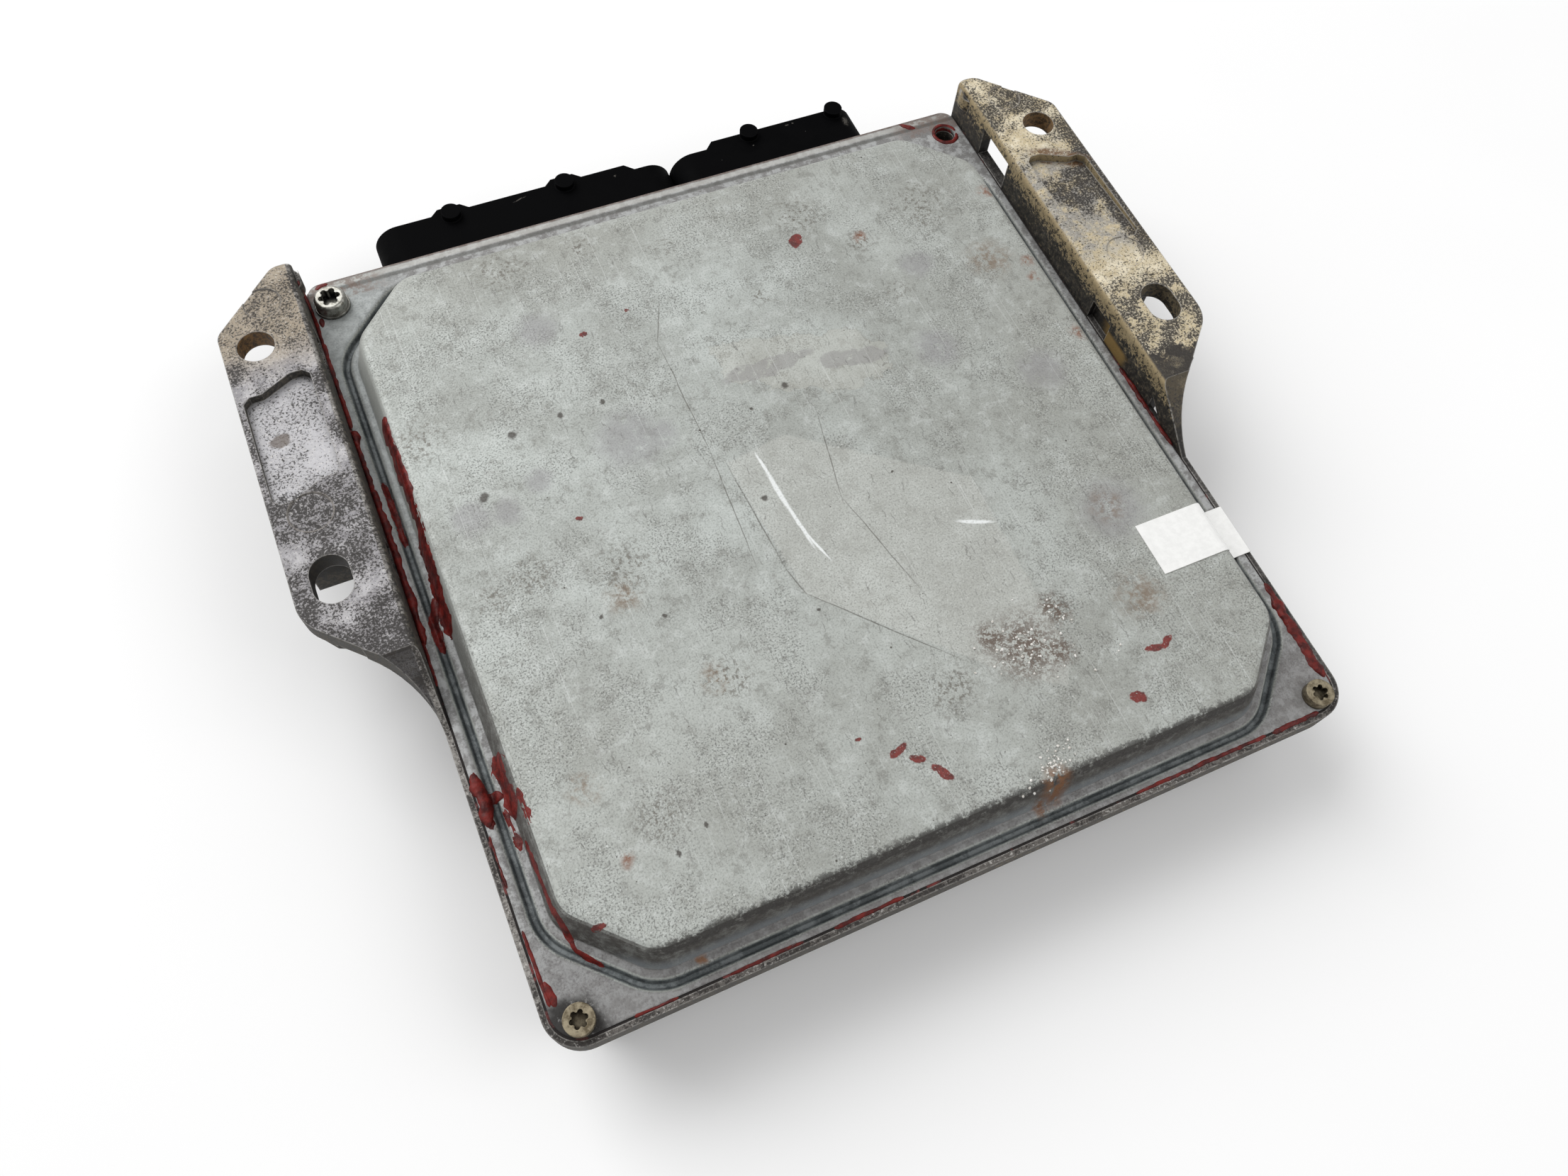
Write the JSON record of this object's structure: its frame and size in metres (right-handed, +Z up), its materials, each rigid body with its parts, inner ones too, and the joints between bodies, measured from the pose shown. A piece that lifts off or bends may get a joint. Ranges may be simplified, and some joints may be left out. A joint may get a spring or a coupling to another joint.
{
  "type": "engine control unit",
  "caption": "Engine control unit: die-cast case with two mounting ears, pressed sheet cover sealed with red silicone, and a black two-bay pin header.",
  "frame": {"origin": "on the base, mid-way between the four cover screw places", "axes": "+Z up through the cover, +Y towards the connector header, +X to the right across the ears"},
  "size_m": [0.222, 0.2074, 0.039],
  "materials": {
    "cast_aluminium": "die-cast, corroded and dirty",
    "galvanised_sheet": "matte galvanised, scratched and stained",
    "red_sealant": "cured silicone",
    "worn_screw": "worn and tarnished",
    "bright_screw": "bright zinc",
    "label_paper": "matte",
    "black_plastic": "moulded, matte",
    "seal_rubber": "matte",
    "contact_metal": "tin-plated",
    "board_laminate": "solder-resist coat",
    "plain_steel": "zinc-plated",
    "pad_rubber": "matte",
    "chip_plastic": "moulded",
    "ferrite": "matte",
    "copper_wire": "lacquered",
    "capacitor_can": "sleeved can",
    "capacitor_ceramic": "matte"
  },
  "bodies": {
    "root": {"case": "cast_aluminium", "cover": "galvanised_sheet", "cover_sealant": "red_sealant", "cover_screws": "worn_screw", "replacement_screw": "bright_screw", "tamper_label": "label_paper", "connector_header": "black_plastic", "header_seal": "seal_rubber", "signal_pins": "contact_metal", "power_pins": "contact_metal", "circuit_board": "board_laminate", "board_screws": "plain_steel", "thermal_pads": "pad_rubber", "microcontroller": "chip_plastic", "flash_memory": "chip_plastic", "crystal": "plain_steel", "power_supply_chip": "chip_plastic", "injector_drivers": "chip_plastic", "power_transistors": "chip_plastic", "boost_coil_cores": "ferrite", "boost_coil_windings": "copper_wire", "electrolytic_capacitors": "capacitor_can", "ceramic_capacitors": "capacitor_ceramic", "shunt_resistors": "capacitor_ceramic", "bus_transceivers": "chip_plastic", "diodes": "chip_plastic", "pressure_sensor": "chip_plastic"}
  },
  "joints": []
}
